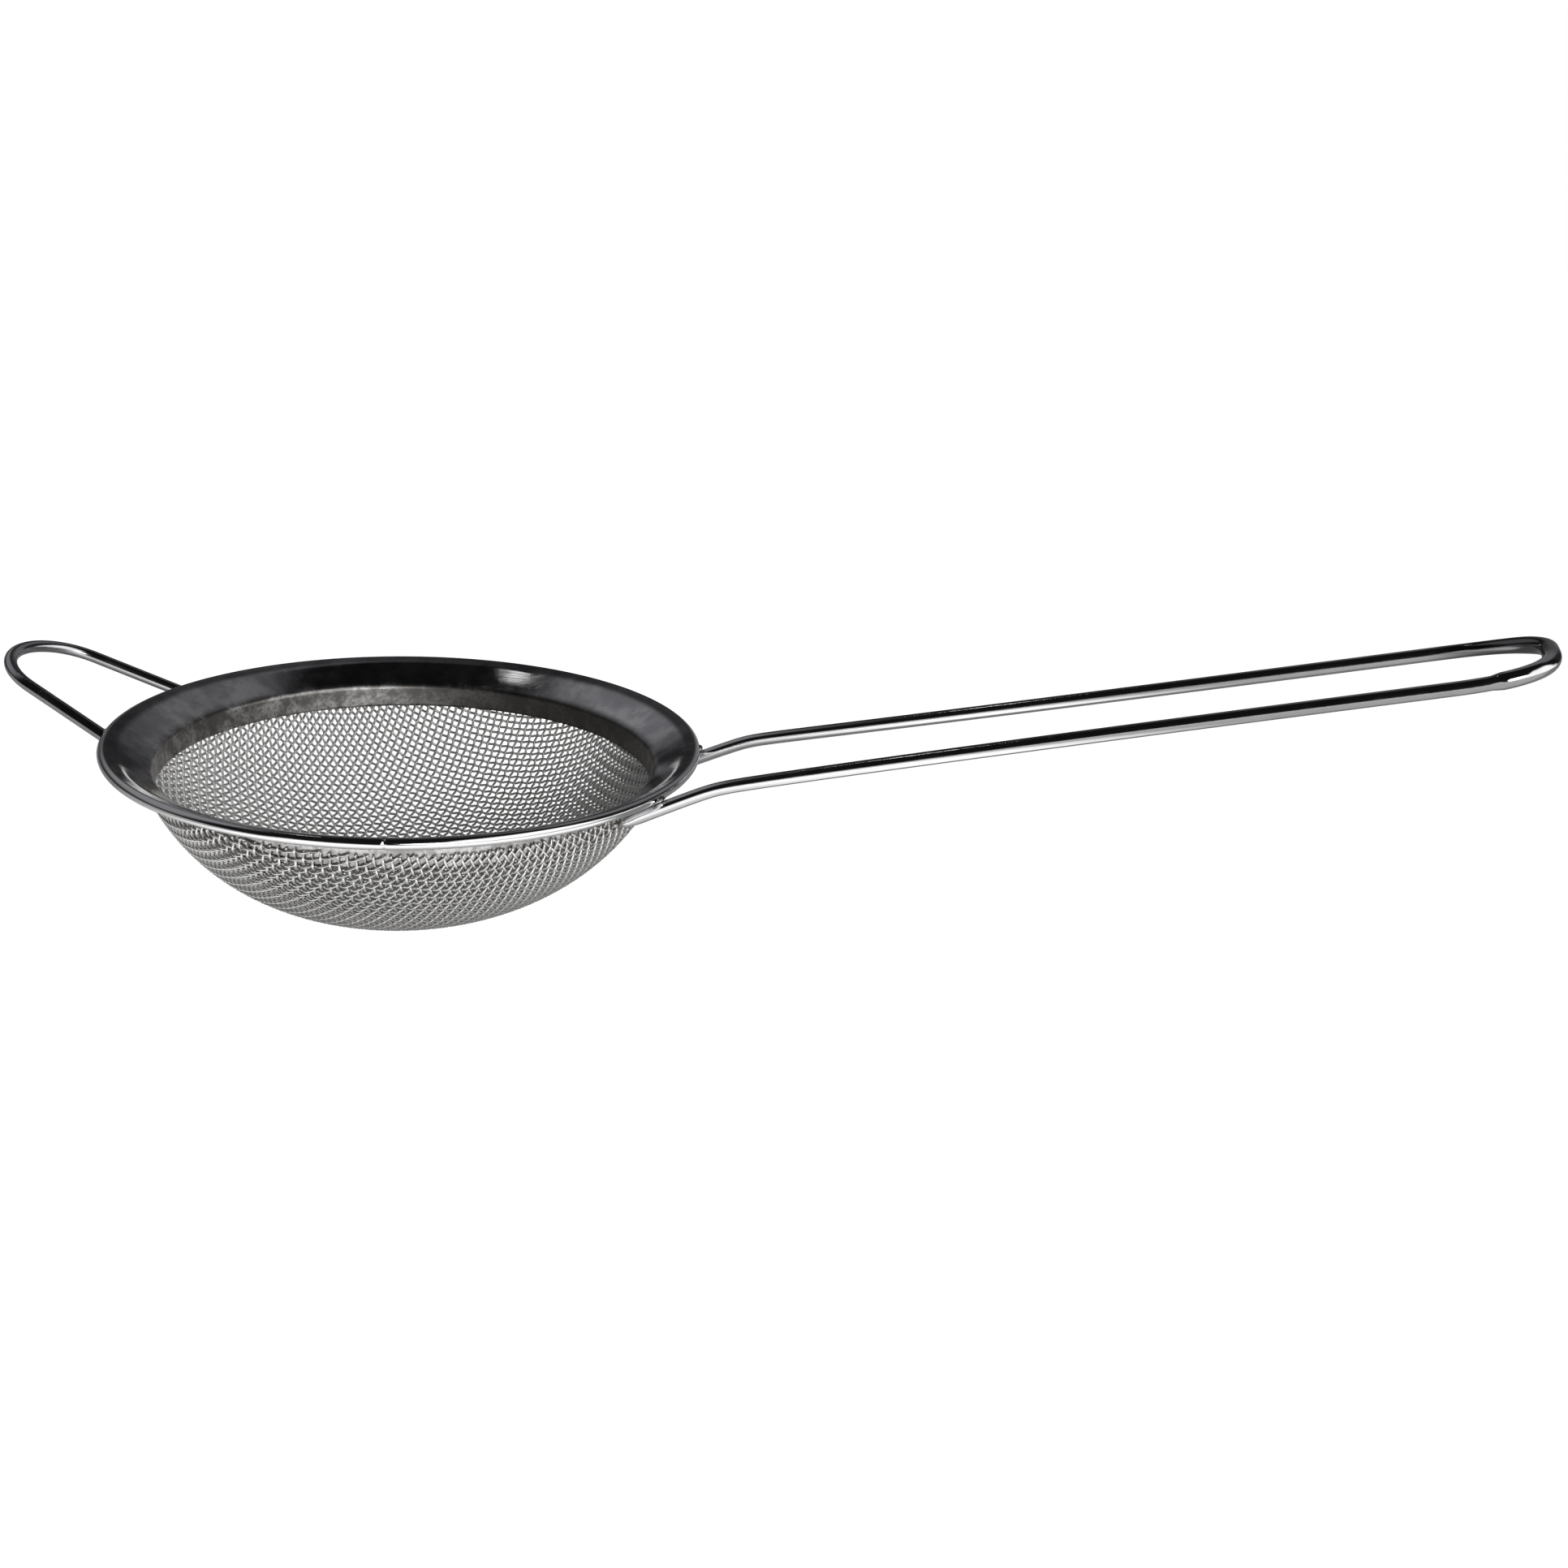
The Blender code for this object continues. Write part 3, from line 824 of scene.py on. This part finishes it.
def graded(nodes, value, stops):
    """A level that eases between (place, level) stops, with value and place from 0 to 1."""
    ramp_node = nodes.add("ShaderNodeValToRGB", None, Fac=value)
    ramp_node.color_ramp.interpolation = "EASE"
    marks = ramp_node.color_ramp.elements
    while len(marks) < len(stops):
        marks.new(len(marks) / 40)
    for mark, (place, level) in zip(marks, stops):
        mark.position = place
        mark.color = grey(level)
    return nodes.add("ShaderNodeSeparateColor", None, i0=ramp_node.outputs[0]).outputs[0]


def window_light(nodes, x, y, z):
    """1 in a direction below the window's top edge, and 0 above it.

    The edge is a list of (compass angle, height) in degrees, from the back by the left, the front at 0 and
    the right.
    """
    edge_stops = [
        (-180, -35), (-120, -42), (-60, -36), (-38, -22), (-22, 5), (0, 1),
        (16, -8), (30, 8), (46, 46), (78, 50), (104, 10), (130, -15), (180, -35),
    ]
    bearing = nodes.math("ARCTAN2", x, nodes.product(y, -1.0))
    compass = nodes.math("ADD", nodes.math("DIVIDE", bearing, TAU), 0.5)
    edge = graded(nodes, compass, [((angle + 180) / 360, (top + 90) / 180) for angle, top in edge_stops])
    edge = nodes.math("SUBTRACT", nodes.product(edge, 180.0), 90.0)
    height = nodes.product(nodes.math("ARCSINE", z), 180 / math.pi)
    return nodes.inverse(nodes.smooth(nodes.math("SUBTRACT", height, edge), -10.0, 12.0))


def room_light(nodes, x, y, z):
    """A nearly black room with two grey walls behind: one in the middle, and a raised one to the left."""
    level = nodes.math("SQRT", nodes.inverse(nodes.product(z, z)))
    behind = nodes.weighted(nodes.product(y, 0.9), (x, -0.45))
    room = nodes.product(nodes.smooth(level, 0.37, 0.56), nodes.smooth(behind, -0.1, 0.3))
    left = nodes.smooth(nodes.product(x, -1.0), 0.36, 0.60)
    raised = nodes.product(nodes.smooth(z, 0.15, 0.45), 0.23)
    middle = nodes.product(nodes.smooth(x, -0.3, 0.1), nodes.inverse(nodes.smooth(x, 0.36, 0.60)))
    wall = nodes.weighted(0.20, (nodes.smooth(z, 0.05, 0.30), -0.06))
    walls = nodes.weighted(0.02, (middle, wall), (left, raised))
    dark = nodes.weighted(0.008, (room, walls))
    bluish = nodes.product(dark, 1.06)
    return nodes.add("ShaderNodeCombineColor", None, i0=dark, i1=dark, i2=bluish).outputs[0]


def studio():
    """A big soft window to the front and right of a dark room, and two small lamps.

    The camera sees plain white. Each lamp is (direction, cosine of its half width, strength).
    """
    lamps = [
        ((-0.39, 0.92, 0.0), 0.9968, 1.0),
        ((-0.357, 0.195, 0.907), 0.9996, 4.5),
    ]
    world = bpy.data.worlds.new("studio")
    bpy.context.scene.world = world
    world.use_nodes = True
    nodes = Nodes(world.node_tree)
    background = world.node_tree.nodes["Background"]
    direction = nodes.coordinates("Generated")
    x, y, z = nodes.split(direction)
    lit = nodes.mix(window_light(nodes, x, y, z), room_light(nodes, x, y, z), grey(1.5))
    for aim, cosine, strength in lamps:
        near = nodes.vector("DOT_PRODUCT", direction, Vector(aim).normalized(), output="Value")
        lit = nodes.mix(nodes.smooth(near, cosine, (1 + cosine) / 2), lit, grey(strength))
    nodes.link(nodes.mix(nodes.seen_by_camera(), lit, grey(1.0)), background.inputs["Color"])
    background.inputs["Strength"].default_value = 1.0


def soft_light(name, place, target, size, power):
    data = bpy.data.lights.new(name, "AREA")
    data.shape = "DISK"
    data.size = size
    data.energy = power
    lamp = bpy.data.objects.new(name, data)
    bpy.context.scene.collection.objects.link(lamp)
    lamp.location = place
    lamp.rotation_euler = (Vector(target) - Vector(place)).to_track_quat("-Z", "Y").to_euler()


def camera():
    """Nearly from the front and a little above, turned so that the handle climbs to the right."""
    cos_a, sin_a = math.cos(CAMERA_AZIMUTH), math.sin(CAMERA_AZIMUTH)
    cos_e, sin_e = math.cos(CAMERA_ELEVATION), math.sin(CAMERA_ELEVATION)
    cos_r, sin_r = math.cos(CAMERA_ROLL), math.sin(CAMERA_ROLL)
    level = np.array([cos_a, sin_a, 0.0])
    back = np.array([sin_a * cos_e, -cos_a * cos_e, sin_e])
    upright = np.cross(level, -back)
    right = level * cos_r + upright * sin_r
    up = upright * cos_r - level * sin_r
    aside, above, away = CAMERA_TO_RIM
    place = np.array([0, 0, BEAD_Z]) - RIM / RIM_FACETS * (right * aside + up * above - back * away)
    data = bpy.data.cameras.new("camera")
    data.sensor_width = CAMERA_SENSOR
    data.lens = CAMERA_LENS
    data.clip_start = 0.01
    made = bpy.data.objects.new("camera", data)
    bpy.context.scene.collection.objects.link(made)
    rows = [[right[k], up[k], back[k], place[k] * MM] for k in range(3)]
    made.matrix_world = Matrix(rows + [[0.0, 0.0, 0.0, 1.0]])
    bpy.context.scene.camera = made


def build():
    """Every piece, riding on the one body, and then the stage."""
    made = [collar()]
    made += cloth()
    handle_steel = wire_material("handle_steel", (0.58, 0.58, 0.59, 1), grey(0.70), 0.05, end_shade=0.85)
    loop_steel = wire_material("loop_steel", (0.46, 0.46, 0.47, 1), (0.60, 0.60, 0.61, 1), 0.10)
    grip, loop = handle_line(), loop_line()
    grip_r = HANDLE_R * handle_swell(grip)
    made.append(bent_wire("handle_wire_round", grip, grip_r, HANDLE_PRESSED, handle_steel, "handle_wire"))
    made.append(bent_wire("rest_loop_round", loop, LOOP_R, LOOP_PRESSED, loop_steel, "rest_loop_wire"))
    lumps = weld_material()
    for k, side in enumerate(("near", "far")):
        made.append(weld("handle_weld_" + side, RIM_LUMP, RIM_LUMP_SUNK, 1.0 + k, lumps))
        made.append(weld("handle_tip_weld_" + side, TIP_LUMP, TIP_LUMP_SUNK, 2.3 + k, lumps))
        made.append(weld("rest_loop_weld_" + side, RIM_LUMP, RIM_LUMP_SUNK, 3.9 + k, lumps))
    for piece, slot in made:
        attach(piece, "root")
    stage_floor()
    studio()
    soft_light("window_softbox", place=(0.9, -1.5, 0.5), target=(0.03, 0, 0.02), size=0.7, power=5.0)
    camera()
    bpy.context.scene.view_settings.view_transform = "Standard"


build()
